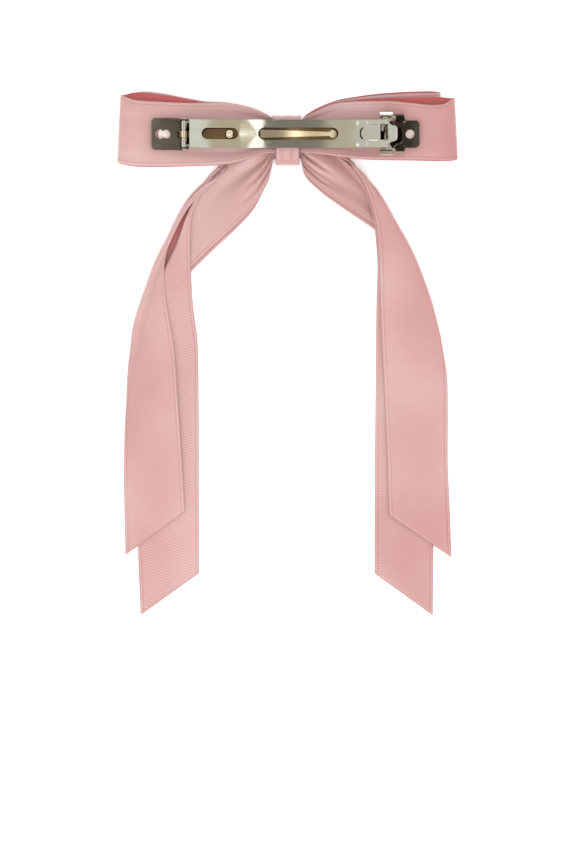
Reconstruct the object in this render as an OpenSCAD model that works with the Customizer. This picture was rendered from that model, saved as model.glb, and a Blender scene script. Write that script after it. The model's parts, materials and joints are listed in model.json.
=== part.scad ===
// Hair barrette with a ribbon bow, lying face down with its hair side up.
// The origin is the middle of the flat front face of the bow's knot, +X runs along the clip
// towards its latch, +Y points to the top of the bow and +Z points to the wearer's hair.

/* [Clip] */
// Half of the length of the base plate, hinge side
base_left = 40.6; // [38:0.1:50]
// Half of the length of the base plate, latch side
base_right = 39.4; // [38:0.1:50]
// Width of the tab beside the hinge
left_tab_w = 9.5; // [9:0.1:14]
// Width of the tab beside the latch
right_tab_w = 8.1; // [7.6:0.1:9]
// Width of the base plate between its tabs
base_waist_w = 7.6; // [6:0.1:8]
// Thickness of the base plate
base_t = 0.6; // [0.4:0.05:1]
// Radius of the base plate's long curve
base_curve_r = 148; // [130:1:220]
// Radius of the sewing hole in the latch tab
hole_r = 1.35; // [0.8:0.05:1.8]

/* [Lever] */
// Width of the lever
lever_w = 8.4; // [7.8:0.1:10]
// Thickness of the lever
lever_t = 0.6; // [0.4:0.05:0.8]
// Radius of the lever's long curve
lever_curve_r = 320; // [260:5:600]
// Height of the lever's underside over the base plate at the hinge
lever_lift = 4.0; // [3.8:0.1:5.5]
// Width of the long slot
long_slot_w = 3.65; // [3:0.05:4.4]
// Width of the short slot
short_slot_w = 3.4; // [2.8:0.05:4.4]

/* [Hinge and spring] */
// Radius of the hinge pin
pin_r = 0.5; // [0.4:0.05:0.7]
// Radial play of what turns on the pin
pin_play = 0.05; // [0.03:0.01:0.08]
// Wall of the rolled knuckles
knuckle_wall = 0.4; // [0.3:0.05:0.5]
// Width of the tension bow
bow_spring_w = 6; // [5:0.1:7]
// Thickness of the tension bow
bow_spring_t = 0.4; // [0.3:0.05:0.5]

/* [Ribbon] */
// Width of the satin ribbon
ribbon_w = 19; // [17:0.5:22]
// Thickness that stands for one ply of the ribbon
ply_t = 0.6; // [0.4:0.05:0.7]
// Distance of the wearer-side loops' ends from the middle
back_loop_reach = 51; // [46:0.5:60]
// Distance of the front loops' ends from the middle
front_loop_reach = 47; // [42:0.5:56]
// Length of the short tails below the knot
short_tail_drop = 127; // [100:1:150]
// Length of the long tails below the knot
long_tail_drop = 144.5; // [120:1:170]
// Width of the wrap round the knot
wrap_w = 7; // [6:0.1:9]

/* [Hidden] */
$fn = 48;
cut = 0.2;

// Heights of the knot's layers, from the front face upwards
wrap_t = 0.5;
thread_t = 0.35;
glue_t = 0.35;
layer_gap = 0.15;
layer_t = 1.0;
thread_z = wrap_t + 0.1;
front_layer_z = thread_z + thread_t + layer_gap;
outer_layer_z = front_layer_z + layer_t + layer_gap;
inner_layer_z = outer_layer_z + layer_t + layer_gap;
back_layer_z = inner_layer_z + layer_t + layer_gap;
thread_top_z = back_layer_z + layer_t + layer_gap + thread_t;
base_z = thread_top_z + 0.15;
base_top_z = base_z + base_t;

// Extents of the gathered ribbon inside the wrap
knot_low = -7.4;
knot_high = 5.1;
knot_side = 0.6;

// The loops open up from here outwards
loop_open_x = 14;

// The loops' and tails' outlines are drawn for the usual ribbon and follow its width
width_k = ribbon_w / 19;

// Heights of the hanging strips where they start, and where along Y that is
strip_top_y = -13;
inner_strip_z = 2.7;
outer_strip_z = 4.0;

// Places along the clip
pin_x = 9.7 - base_left;
pin_lift = 1.75;
leg_x = pin_x + 2;
ear_play = 0.2;
ear_t = 0.5;
lever_mid_x = 1;
tongue_x = base_right - 19.6;
tongue_t = 0.45;
panel_h = 0.25;
shoulder_x = base_right - 9.3;
tip_x = base_right - 6.6;
window_x = [base_right - 11.7, base_right - 9.45];
window_y = [-1.9, 2.8];
pivot_x = base_right - 7.5;
pivot_y = lever_w / 2 + 0.7;
pivot_r = 0.45;
root_x = [base_right - 7, base_right - 4.1];
tab_hole_x = base_right - 2.8;
slot_hole_x = [2.5 - base_left, 4.4 - base_left];
slot_hole_r = [1.45, 1.3];

knuckle_r = pin_r + pin_play + knuckle_wall;
leg_y = lever_w / 2 - 0.4;

function rise(x, r) = r - sqrt(r * r - x * x);
function base_top(x) = base_top_z + rise(x, base_curve_r);
function slope(x, r) = asin(x / r);

pin_z = base_top(pin_x) + pin_lift;
lever_mid_z = base_top(leg_x) + lever_lift - rise(leg_x - lever_mid_x, lever_curve_r);
function lever_under(x) = lever_mid_z + rise(x - lever_mid_x, lever_curve_r);

// The tension bow arches towards the lever and stays clear of it. It is flatter on a clip
// whose base plate comes up close to it at the hinge.
spring_end_x = base_right - 14.4;
spring_crown_x = (pin_x + spring_end_x) / 2 - 3.05;
spring_crown_z = lever_mid_z - 0.3;
spring_hook_x = pin_x + 1.2;
spring_hook_room = spring_crown_z - base_top(spring_hook_x) - 0.7;
spring_curve_r = max(300, pow(spring_crown_x - spring_hook_x, 2) / (2 * spring_hook_room));
spring_neck_w = 2;
spring_neck_x = pin_x + 3.6;
rib_x = [-8.1, 14.2];
dome_x = -17.3;
dome_r = 1.45;
function spring_top(x) = spring_crown_z - rise(x - spring_crown_x, spring_curve_r);

long_slot_x = [-8.8, 15.2];
short_slot_x = [-25.6, -14.7];
rim_w = 0.35;
rim_h = 0.15;

// A box between two corners
module block(low, high) {
    translate(low) cube(high - low);
}

// A plate through the clip's width whose side view is the points
module side_plate(points, y_low, y_high) {
    translate([0, y_high, 0]) rotate([90, 0, 0])
        linear_extrude(height = y_high - y_low) polygon(points);
}

// A strip that curves along X with its hollow side up
module hollow_up(r, mid_x, under_z, t, half_w) {
    translate([mid_x, 0, under_z + r]) rotate([90, 0, 0]) difference() {
        cylinder(h = 2 * half_w, r = r, center = true, $fn = 720);
        cylinder(h = 2 * half_w + 2 * cut, r = r - t, center = true, $fn = 720);
    }
}

// A strip that curves along X with its hollow side down
module hollow_down(r, mid_x, top_z, t, half_w) {
    translate([mid_x, 0, top_z - r]) rotate([90, 0, 0]) difference() {
        cylinder(h = 2 * half_w, r = r, center = true, $fn = 720);
        cylinder(h = 2 * half_w + 2 * cut, r = r - t, center = true, $fn = 720);
    }
}

// A rectangle in plan with four round corners, as a solid between two heights
module rounded_plan(x, y, r, z) {
    translate([0, 0, z[0]]) linear_extrude(height = z[1] - z[0]) union() {
        translate([x[0] + r, y[0]]) square([x[1] - x[0] - 2 * r, y[1] - y[0]]);
        translate([x[0], y[0] + r]) square([x[1] - x[0], y[1] - y[0] - 2 * r]);
        for (cx = [x[0] + r, x[1] - r], cy = [y[0] + r, y[1] - r])
            translate([cx, cy]) circle(r = r);
    }
}

// The frame of the base plate's upper face at a place along the clip
module on_base(x) {
    translate([x, 0, base_top(x)]) rotate([0, -slope(x, base_curve_r), 0]) children();
}

// The frame of the lever's upper face at a place along the clip
module on_lever(x) {
    translate([x, 0, lever_under(x) + lever_t])
        rotate([0, -slope(x - lever_mid_x, lever_curve_r), 0]) children();
}

// A slot with round ends in plan, through everything between two heights
module slot(x, half_w, z) {
    union() {
        block([x[0] + half_w, -half_w, z[0]], [x[1] - half_w, half_w, z[1]]);
        for (cx = [x[0] + half_w, x[1] - half_w])
            translate([cx, 0, z[0]]) cylinder(h = z[1] - z[0], r = half_w);
    }
}

module base_outline() {
    waist = base_waist_w / 2;
    rounded_plan([-base_left, pin_x + 1.2], [-left_tab_w / 2, left_tab_w / 2], 1.15,
        [base_z - 2, base_z + 12]);
    rounded_plan([pin_x, base_right - 11], [-waist, waist], 0.3, [base_z - 2, base_z + 12]);
    rounded_plan([base_right - 12, base_right], [-right_tab_w / 2, right_tab_w / 2], 1.2,
        [base_z - 2, base_z + 12]);
}

// One ear holds an end of the hinge pin; its foot carries on as a low flange
module hinge_ear() {
    ear_in = leg_y + ear_play;
    foot_z = base_top(pin_x - 2.4) - base_t;
    difference() {
        union() {
            side_plate([[pin_x - 2.4, foot_z], [pin_x + 1.2, foot_z - 0.6],
                [pin_x + 1.3, pin_z], [pin_x - 1.3, pin_z], [pin_x - 2, foot_z + 1.6]],
                ear_in, ear_in + ear_t);
            translate([pin_x, ear_in + ear_t, pin_z]) rotate([90, 0, 0])
                cylinder(h = ear_t, r = 1.3);
            on_base(pin_x - 4.1) block([-1.9, left_tab_w / 2 - ear_t, -base_t / 2],
                [1.9, left_tab_w / 2, 0.8]);
        }
        translate([pin_x, ear_in + ear_t + cut, pin_z]) rotate([90, 0, 0])
            cylinder(h = ear_t + 2 * cut, r = pin_r);
    }
}

// One root plate is bent up from the base plate's edge and leans outwards
module jaw_root() {
    edge = right_tab_w / 2;
    difference() {
        on_base((root_x[0] + root_x[1]) / 2) {
            half = (root_x[1] - root_x[0]) / 2;
            translate([-half, 0, 0]) rotate([90, 0, 90]) linear_extrude(height = 2 * half)
                polygon([[edge - 0.6, -base_t], [edge, -base_t], [pivot_y + 0.9, 2.3],
                    [pivot_y + 0.4, 2.5], [edge - 0.2, 0.15], [edge - 0.6, 0]]);
        }
        translate([pivot_x, pivot_y, base_z]) cylinder(h = 12, r = pivot_r + pin_play);
    }
}

// The arched plate of the clip with its two tabs, hinge ears and catch roots
module base_plate() {
    color([0.62, 0.60, 0.55]) {
        difference() {
            intersection() {
                hollow_up(base_curve_r + base_t, 0, base_z, base_t, left_tab_w);
                base_outline();
            }
            on_base(tab_hole_x) cylinder(h = 6, r = hole_r, center = true);
            on_base(slot_hole_x[0]) cylinder(h = 6, r = slot_hole_r[0], center = true);
            on_base(slot_hole_x[1]) cylinder(h = 6, r = slot_hole_r[1], center = true);
        }
        for (side = [0, 1]) mirror([0, side, 0]) {
            hinge_ear();
            jaw_root();
            on_base(pin_x - 2.2) rotate([0, 0, -14]) translate([0, -0.2, 0])
                block([-0.12, 0, -base_t / 2], [0.12, left_tab_w / 2 - 0.4, 0.15]);
        }
    }
}

// The pin that the lever and the tension bow turn on, with a head at each end
module hinge_pin() {
    half = leg_y + ear_play + ear_t;
    color([0.86, 0.83, 0.76]) translate([pin_x, 0, pin_z]) rotate([90, 0, 0]) {
        cylinder(h = 2 * half + 0.2, r = pin_r, center = true);
        for (side = [-1, 1]) translate([0, 0, side * (half + 0.2)])
            cylinder(h = 0.3, r = pin_r + 0.25, center = true);
    }
}

// A rolled knuckle round the hinge pin
module knuckle(y_low, y_high) {
    translate([pin_x, y_high, pin_z]) rotate([90, 0, 0]) difference() {
        cylinder(h = y_high - y_low, r = knuckle_r);
        translate([0, 0, -cut]) cylinder(h = y_high - y_low + 2 * cut, r = pin_r + pin_play);
    }
}

// The lever's legs lead from its end down to the knuckles
module lever_leg() {
    side = 0.6;
    leg = [[leg_x - 0.35, lever_under(leg_x) + lever_t], [leg_x + 0.3, lever_under(leg_x)],
        [pin_x + 0.85, pin_z - 0.2], [pin_x + 0.6, pin_z + 0.55]];
    side_plate(leg, leg_y - side, leg_y);
    knuckle(spring_neck_w / 2 + ear_play, leg_y);
}

// The closing lever, a long curved strip with two slots
module lever() {
    half = lever_w / 2;
    long_r = long_slot_w / 2;
    short_r = short_slot_w / 2;
    deep = [base_z, base_z + 20];
    end_x = [leg_x - 0.35, shoulder_x - 0.3];
    color([0.80, 0.78, 0.71]) {
        difference() {
            union() {
                intersection() {
                    hollow_up(lever_curve_r, lever_mid_x, lever_mid_z, lever_t, half);
                    block([end_x[0], -half, deep[0]], [end_x[1], half, deep[1]]);
                }
                intersection() {
                    hollow_up(lever_curve_r - lever_t + cut, lever_mid_x,
                        lever_mid_z + lever_t - cut, rim_h + cut, half);
                    union() {
                        slot([long_slot_x[0] - rim_w, long_slot_x[1] + rim_w],
                            long_r + rim_w, deep);
                        slot([short_slot_x[0] - rim_w, short_slot_x[1] + rim_w],
                            short_r + rim_w, deep);
                    }
                }
            }
            slot(long_slot_x, long_r, deep);
            slot(short_slot_x, short_r, deep);
            block([tongue_x + 1.8, window_y[0] - 0.1, deep[0]],
                [shoulder_x + 1, window_y[1] + 0.1, deep[1]]);
        }
        for (side = [0, 1]) mirror([0, side, 0]) lever_leg();
    }
}

// A round ridge across the tongue, at a place along the clip and across it
module cross_ridge(x, y, length, r) {
    on_lever(x) translate([0, y, tongue_t - 0.1]) rotate([90, 0, 0])
        cylinder(h = length, r = r, center = true);
}

// What stands up from the tongue: four bosses, and ridges beside the window and at the tip
module tongue_relief() {
    for (side = [-1, 1]) {
        on_lever(tongue_x + 1.2) translate([0, side * 3.1, tongue_t - 0.25]) difference() {
            sphere(r = 0.75);
            cylinder(h = 2, r = 0.2);
        }
        cross_ridge(tongue_x + 4.0, side * 3.1, 1.3, 0.5);
    }
    cross_ridge(window_x[0] - 0.45, 0.45, 3.8, 0.3);
    cross_ridge(shoulder_x + 0.75, 0, 3.2, 0.26);
    cross_ridge(tip_x - 0.4, 0, 3.6, 0.3);
}

// The stamped end piece that is crimped on the lever and holds the catch's window
module latch_tongue() {
    deep = [base_z, base_z + 20];
    half = lever_w / 2 - 0.1;
    tip_half = 2.4;
    t = tongue_t;
    under = lever_mid_z + lever_t + 0.02;
    color([0.78, 0.80, 0.78]) {
        difference() {
            union() {
                intersection() {
                    hollow_up(lever_curve_r - lever_t, lever_mid_x, under, t, half);
                    union() {
                        rounded_plan([tongue_x + 0.8, shoulder_x], [-half, half], 0.6, deep);
                        translate([tongue_x + 3, 0, deep[0]]) cylinder(h = 20, r = 3.2);
                        translate([0, 0, deep[0]]) linear_extrude(height = 20)
                            polygon([[shoulder_x - 1, half], [shoulder_x - 1, -half],
                                [tip_x - 1.6, -tip_half], [tip_x - 1.6, tip_half]]);
                        rounded_plan([shoulder_x - 2, tip_x], [-tip_half, tip_half], 1.3, deep);
                    }
                }
                intersection() {
                    hollow_up(lever_curve_r - lever_t - t + cut, lever_mid_x, under + t - cut,
                        panel_h + cut, half);
                    rounded_plan([tongue_x + 2.4, window_x[0]], [-1.95, 2.35], 0.4, deep);
                }
                intersection() {
                    hollow_up(lever_curve_r - lever_t - t / 2, lever_mid_x, under + t / 2,
                        1, half);
                    tongue_relief();
                }
            }
            for (y = [-2.1, 2.5]) on_lever(window_x[0] - 3.3)
                translate([0, y, tongue_t + 0.02]) rotate([0, 90, 0])
                cylinder(h = 2.4, r = 0.22);
            translate([0, 0, deep[0]]) linear_extrude(height = 20) difference() {
                translate([tongue_x + 3.7, 0]) circle(r = 2.1);
                translate([tongue_x + 4.3, 0]) circle(r = 2.15);
                translate([tongue_x + 2.8, -3]) square([4, 6]);
            }
            block([window_x[0], window_y[0], deep[0]], [window_x[1], window_y[1], deep[1]]);
        }
    }
}

// The sprung strip under the lever: a hook on the pin, a dome, a long rib and a foot
module tension_bow() {
    half = bow_spring_w / 2;
    neck = spring_neck_w / 2;
    deep = [base_z, base_z + 20];
    end = spring_end_x;
    rib_top = 0.85;
    color([0.85, 0.76, 0.55]) {
        intersection() {
            hollow_down(spring_curve_r, spring_crown_x, spring_crown_z, bow_spring_t, half);
            union() {
                rounded_plan([spring_neck_x, end], [-half, half], 0.8, deep);
                block([pin_x + 0.7, -neck, deep[0]], [spring_neck_x + 1, neck, deep[1]]);
            }
        }
        knuckle(-neck, neck);
        side_plate([[pin_x + 0.4, pin_z - 0.75],
            [spring_hook_x, spring_top(spring_hook_x) - bow_spring_t],
            [spring_hook_x, spring_top(spring_hook_x)], [pin_x + 0.75, pin_z]], -neck, neck);
        for (side = [-1, 1]) translate([pin_x - 1.1, side * 0.5, pin_z - 0.2])
            cylinder(h = 0.5, r = 0.42);
        intersection() {
            hollow_down(spring_curve_r + rib_top, spring_crown_x, spring_crown_z + rib_top,
                rib_top + bow_spring_t / 2, half);
            union() {
                translate([0, 0, deep[0]]) linear_extrude(height = 20)
                    polygon([[rib_x[0], 1.2], [rib_x[0], -1.2], [rib_x[1] - 1, -0.6],
                        [rib_x[1] - 1, 0.6]]);
                translate([rib_x[1] - 0.7, 0, deep[0]]) cylinder(h = 20, r = 1.1);
            }
        }
        intersection() {
            translate([dome_x, 0, spring_top(dome_x) - 0.5]) sphere(r = dome_r);
            block([dome_x - 2, -2, spring_top(dome_x) - bow_spring_t / 2],
                [dome_x + 2, 2, spring_top(dome_x) + 2]);
        }
        block([end - 0.9, -half + 1.1, base_top(end) + 0.12],
            [end - 0.5, half - 1.1, spring_top(end) - bow_spring_t / 2]);
    }
}

// One catch jaw: a finger pad, an arm under the tongue and a post with a barb in its window.
// The two arms lie one over the other, so that either jaw can be pressed alone.
module jaw(post_x, post_y, barb_y, arm_lift) {
    foot_z = base_top(pivot_x) + 0.5;
    arm_z = [foot_z + arm_lift, foot_z + arm_lift + 0.6];
    barb_z = lever_under(window_x[1]) + lever_t + tongue_t + panel_h + 0.2;
    pad_z = base_top(pivot_x) + 2.3;
    pad_back = pivot_x - 4.3;
    flare = 2.1;
    edge = pivot_y - 0.15;
    difference() {
        union() {
            block([pad_back, edge, foot_z], [pivot_x - 0.3, edge + 0.45, pad_z]);
            translate([pad_back, edge + flare, pad_z]) rotate([90, 0, 90])
                rotate([0, 0, 105]) rotate_extrude(angle = 75)
                translate([flare - 0.45, 0]) square([0.45, pivot_x - 0.6 - pad_back]);
        }
        for (notch = [0.9, 2.1, 3.2]) translate([pad_back + notch, edge + 2.4, pad_z + flare])
            rotate([40, 0, 0]) cylinder(h = 4, r = 0.28, center = true);
    }
    translate([pivot_x, pivot_y, foot_z]) cylinder(h = 2.4, r = pivot_r);
    block([pivot_x - 0.6, pivot_y - 0.15, foot_z], [pivot_x, pivot_y + 0.3, foot_z + 2.4]);
    translate([0, 0, arm_z[0]]) linear_extrude(height = arm_z[1] - arm_z[0])
        polygon([[pivot_x - 0.4, edge + 0.3], [pivot_x - 0.4, edge - 0.3],
            [post_x[1], post_y[1] - 0.8], [post_x[1], post_y[0]], [post_x[0], post_y[0]],
            [post_x[0], post_y[1]], [pivot_x - 2.6, edge + 0.2]]);
    block([post_x[0], post_y[0], arm_z[0]], [post_x[1], post_y[1], barb_z + 0.35]);
    block([post_x[0], post_y[1] - 0.4, barb_z], [post_x[1], barb_y, barb_z + 0.35]);
}

module upper_jaw() {
    color([0.80, 0.74, 0.62])
        jaw([window_x[0] + 0.3, window_x[0] + 0.9], [0.6, window_y[1] - 0.15],
            window_y[1] + 0.25, 0);
}

module lower_jaw() {
    color([0.80, 0.74, 0.62]) mirror([0, 1, 0])
        jaw([window_x[0] + 1.25, window_x[0] + 1.6], [0, -window_y[0] - 0.15],
            -window_y[0] + 0.25, 0.75);
}

// A smooth open curve through points, with a few steps between neighbours
function spline(p, steps = 5) = concat([for (i = [0:len(p) - 2], s = [0:steps - 1])
    let (t = s / steps, a = p[max(i - 1, 0)], b = p[i], c = p[i + 1],
        d = p[min(i + 2, len(p) - 1)])
    0.5 * (2 * b + (c - a) * t + (2 * a - 5 * b + 4 * c - d) * t * t
        + (3 * b - a - 3 * c + d) * t * t * t)], [p[len(p) - 1]]);

// The side view of one open loop: out along the lower ply, round the end and back. A loop
// that reaches far past its high point runs level up to it.
function loop_path(reach, high_x, low, high, end_z) = spline(concat([
    [3, low[0]], [10, low[1]], [22, low[2]], [reach - 7, end_z - 2.1], [reach - 2, end_z - 1.7],
    [reach, end_z], [reach - 2, end_z + 1.7]],
    reach - 9 > high_x ? [[reach - 8, high[2]]] : [],
    [[high_x, high[2]], [22, high[1]], [10, high[0]], [3, high[0]]]));

// The points of a path that lie beyond a place, moved in by a thickness
function inner_path(p, t, from_x) = [for (i = [1:len(p) - 2])
    let (d = p[i + 1] - p[i - 1])
    if (p[i][0] > from_x) p[i] + t * [-d[1], d[0]] / norm(d)];

// A loop is its side view, hollow beyond the gathered part, cut to its outline in plan
module ribbon_loop(path, top, bottom) {
    low_edge = spline(bottom);
    last = len(low_edge) - 1;
    intersection() {
        translate([0, 20, 0]) rotate([90, 0, 0]) linear_extrude(height = 40) difference() {
            polygon(path);
            polygon(inner_path(path, ply_t, loop_open_x));
        }
        translate([0, 0, -1]) linear_extrude(height = 20)
            polygon([for (p = concat(spline(top), [for (i = [0:last]) low_edge[last - i]]))
                [p[0], p[1] * width_k]]);
    }
}

// The gathered middle of one ribbon, inside the wrap
module gathered(z) {
    rounded_plan([-3.2, 3.2], [knot_low + knot_side, knot_high - knot_side], 0.5,
        [z, z + layer_t]);
}

// The loops on the wearer's side follow the base plate's curve
module back_loops() {
    reach = back_loop_reach;
    high_x = min(reach - 8, base_right + 3.6);
    under_z = base_z + rise(high_x, base_curve_r);
    path = loop_path(reach, high_x, [back_layer_z, back_layer_z, back_layer_z + 0.4],
        [back_layer_z + layer_t, base_z + rise(22, base_curve_r) - 0.75, under_z - 1.3],
        under_z - 3.6);
    color([0.87, 0.69, 0.67]) {
        gathered(back_layer_z);
        mirror([1, 0, 0]) ribbon_loop(path,
            [[2.5, 3.6], [12, 8.2], [24, 10.1], [38, 12.2], [reach, 12.8]],
            [[2.5, -5], [14, -8.2], [28, -9.3], [40, -9.5], [reach, -8.4]]);
        ribbon_loop(path,
            [[2.5, 3.6], [12, 8.2], [24, 11.2], [38, 10.4], [reach, 11.4]],
            [[2.5, -5], [14, -5.8], [24, -7.1], [38, -7.6], [reach, -7.2]]);
    }
}

// The loops on the bow's front stand a little higher up the bow
module front_loops() {
    reach = front_loop_reach;
    path = loop_path(reach, reach - 8, [front_layer_z, 0.15, 0.1],
        [front_layer_z + layer_t, 3.0, back_layer_z + 0.2], 2.9);
    color([0.85, 0.65, 0.63]) {
        gathered(front_layer_z);
        mirror([1, 0, 0]) ribbon_loop(path,
            [[2.5, 4.6], [8, 7.4], [20, 10.8], [34, 12.8], [reach, 13.3]],
            [[2.5, -1], [10, -2.6], [20, -4.6], [34, -5.8], [reach, -5.4]]);
        ribbon_loop(path,
            [[2.5, 4.6], [8, 8.2], [20, 12.0], [32, 13.4], [reach, 13.8]],
            [[2.5, -1], [10, -2.6], [20, -4.6], [34, -5.2], [reach, -5]]);
    }
}

// Flat ribbon with a plan outline, hinged at a point and sloping down towards the tails' ends
module ply(points, z, tilt, from_y, t) {
    translate([0, from_y, z]) rotate([tilt, 0, 0]) translate([0, -from_y, 0])
        linear_extrude(height = t) polygon([for (p = points) [p[0] * width_k, p[1]]]);
}

// One tail: it fans out from the knot, rolls over at its bend and hangs down from there.
// The strip is its two selvedges, the first one downwards and the second one upwards.
module tail(layer_z, fan, fan_tilt, bend, bend_h, strip, strip_z, strip_tilt) {
    fan_z = layer_z + 0.1;
    ply(spline(fan, 3), fan_z, fan_tilt, knot_low / 2, ply_t);
    ply(spline(bend, 3), fan_z, fan_tilt, knot_low / 2, bend_h);
    ply(concat(spline(strip[0], 3), spline(strip[1], 3)), strip_z, strip_tilt, strip_top_y,
        ply_t);
}

// The gathered middle of a strip whose two ends are tails
module tail_knot(layer_z) {
    translate([0, 0, layer_z]) linear_extrude(height = layer_t)
        polygon([[-3.2, 0.5], [3.2, 0.5], [5.5, -3.5], [4.6, -7.2], [0, -6.2], [-4.6, -7.2],
            [-5.5, -3.5]]);
}

// The strip that folds round the outside, with the two short tails
module outer_tails() {
    drop = short_tail_drop;
    color([0.90, 0.73, 0.71]) {
        tail_knot(outer_layer_z);
        mirror([1, 0, 0]) tail(outer_layer_z,
            [[3.2, -2], [14, -5], [25.1, -13.1], [31.1, -21.4], [37.5, -33.1], [41.5, -42],
            [43, -48], [36, -46.8], [28.9, -40.3], [22.6, -34], [15.4, -27.4], [10.2, -21.7],
            [7.4, -16.5], [5.7, -13], [5.2, -10], [3.2, -6]], 2.9,
            [[24.9, -13.4], [30.8, -21.7], [37.1, -33.3], [41.1, -42.2], [42.7, -47.8],
            [43.4, -47.8], [41.9, -42], [37.9, -32.9], [31.5, -21.2], [25.5, -12.9]], 3.2,
            [[[25.4, -12.8], [31, -21], [37.5, -33], [44, -46], [47.4, -62], [48.6, -80],
            [49.4, -102], [48.9, 0.7 - drop]], [[30.9, 13.1 - drop], [33, -80], [36.6, -52],
            [37.3, -37.5], [33, -26], [27.6, -16]]], outer_strip_z, 1.35);
        tail(outer_layer_z,
            [[3.2, -1], [12, -3], [19.3, -7], [24.5, -13], [29.8, -19.9], [33.5, -26.5],
            [36.5, -32], [31, -29.6], [26.5, -26.9], [16, -20.5], [10, -15.8], [6.3, -11.5],
            [4.2, -8], [3.2, -5]], 4.4,
            [[19, -7.2], [24.2, -13.2], [29.5, -20.1], [33.2, -26.7], [36.2, -32.2],
            [36.9, -32], [34, -26.3], [30.4, -19.6], [25.1, -12.6], [19.9, -6.6]], 3.3,
            [[[19.6, -7], [26.8, -15.4], [32.9, -25.5], [40.5, -40.7], [46.8, -63],
            [48.2, -80], [48.4, -100], [49.5, -drop]], [[30.7, 12.8 - drop], [30.2, -97.4],
            [28.5, -61], [27.7, -38], [26.2, -23], [22.2, -12]]], outer_strip_z, 1.35);
    }
}

// The strip that folds inside the other one, with the two long tails
module inner_tails() {
    drop = long_tail_drop;
    color([0.88, 0.70, 0.68]) {
        tail_knot(inner_layer_z);
        mirror([1, 0, 0]) tail(inner_layer_z,
            [[3.2, -2], [14, -5], [23.8, -13], [29.6, -21.7], [34.4, -32], [37.6, -40],
            [38.6, -45], [34, -43.6], [28, -38.5], [22, -32.6], [15, -26], [10, -20.6],
            [7, -15.6], [5.2, -10], [3.2, -6]], 3,
            [[25.2, -16], [29.2, -22.5], [33.9, -32.2], [37.1, -40.1], [38.2, -44.8],
            [38.9, -44.6], [37.9, -39.9], [34.7, -31.8], [30, -22], [26, -15.6]], 0.85,
            [[[27.9, -19], [29.2, -26], [29.4, -38], [28.6, -56], [27.6, -80],
            [26.9, 12.8 - drop]], [[44.5, 0.3 - drop], [45.2, -124], [44.8, -90],
            [43.4, -60], [38.6, -44], [33.4, -31]]], inner_strip_z, 1.1);
        tail(inner_layer_z,
            [[3.2, -1], [12, -3.4], [17.8, -7.4], [23.4, -13.2], [28.6, -20.2], [32, -26.4],
            [34.5, -31], [30, -28.5], [26, -26], [16, -19.8], [10, -15], [6.3, -10.8],
            [4.2, -7.2], [3.2, -5]], 4.4,
            [[17.9, -7.9], [22.9, -13.6], [28.1, -20.5], [31.6, -26.6], [34, -31.1],
            [34.7, -30.9], [32.3, -26.3], [28.9, -20], [23.6, -13], [18.5, -7.3]], 0.85,
            [[[22.2, -13], [25.9, -24.2], [27.2, -38], [26.7, -60], [26.5, -100],
            [26.3, 12.6 - drop]], [[43.9, -drop], [44.1, -122], [43.4, -80], [41.4, -50],
            [36, -34], [29, -22]]], inner_strip_z, 1.1);
    }
}

// The wrap goes round the knot and over the base plate in the middle
function wrap_outline(t) = [[-8.7 + t, 1.3], [-8.1 + 0.4 * t, t], [5.7 - 0.4 * t, t],
    [6.3 - t, 1.3], [6.3 - t, base_z - 0.2],
    [base_waist_w / 2 + 0.9 - t / 2, base_top_z + 0.65 - t],
    [-base_waist_w / 2 - 0.9 + t / 2, base_top_z + 0.65 - t], [-8.7 + t, base_z - 0.1]];

module centre_wrap() {
    color([0.89, 0.72, 0.70]) translate([-wrap_w / 2, 0, 0]) rotate([90, 0, 90])
        linear_extrude(height = wrap_w) difference() {
            polygon(wrap_outline(0));
            polygon(wrap_outline(wrap_t));
        }
}

// The thread binds the gathered ribbons under the wrap
module binding_thread() {
    color([0.85, 0.62, 0.60]) translate([-0.8, 0, 0]) rotate([90, 0, 90])
        linear_extrude(height = 1.6) difference() {
            translate([knot_low - 0.35, thread_z])
                square([knot_high - knot_low + 0.7, thread_top_z - thread_z]);
            translate([knot_low, thread_z + thread_t])
                square([knot_high - knot_low, thread_top_z - thread_z - 2 * thread_t]);
        }
}

// Clear glue between the tabs and the loops below them
module glue_pads() {
    color([0.88, 0.86, 0.84]) for (side = [-1, 1]) {
        x = side < 0 ? slot_hole_x[1] : tab_hole_x;
        on_base(x) translate([0, 0, -base_t - glue_t - 0.05])
            cylinder(h = glue_t, r = 2.4);
    }
}

base_plate();
hinge_pin();
lever();
latch_tongue();
tension_bow();
upper_jaw();
lower_jaw();
back_loops();
front_loops();
outer_tails();
inner_tails();
centre_wrap();
binding_thread();
glue_pads();
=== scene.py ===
"""Ribbon bow barrette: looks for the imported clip, the satin bow on it and the light it lies in."""

from __future__ import annotations

import json
import logging
import math
from dataclasses import dataclass, field
from enum import Enum
from typing import Callable, Sequence

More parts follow.
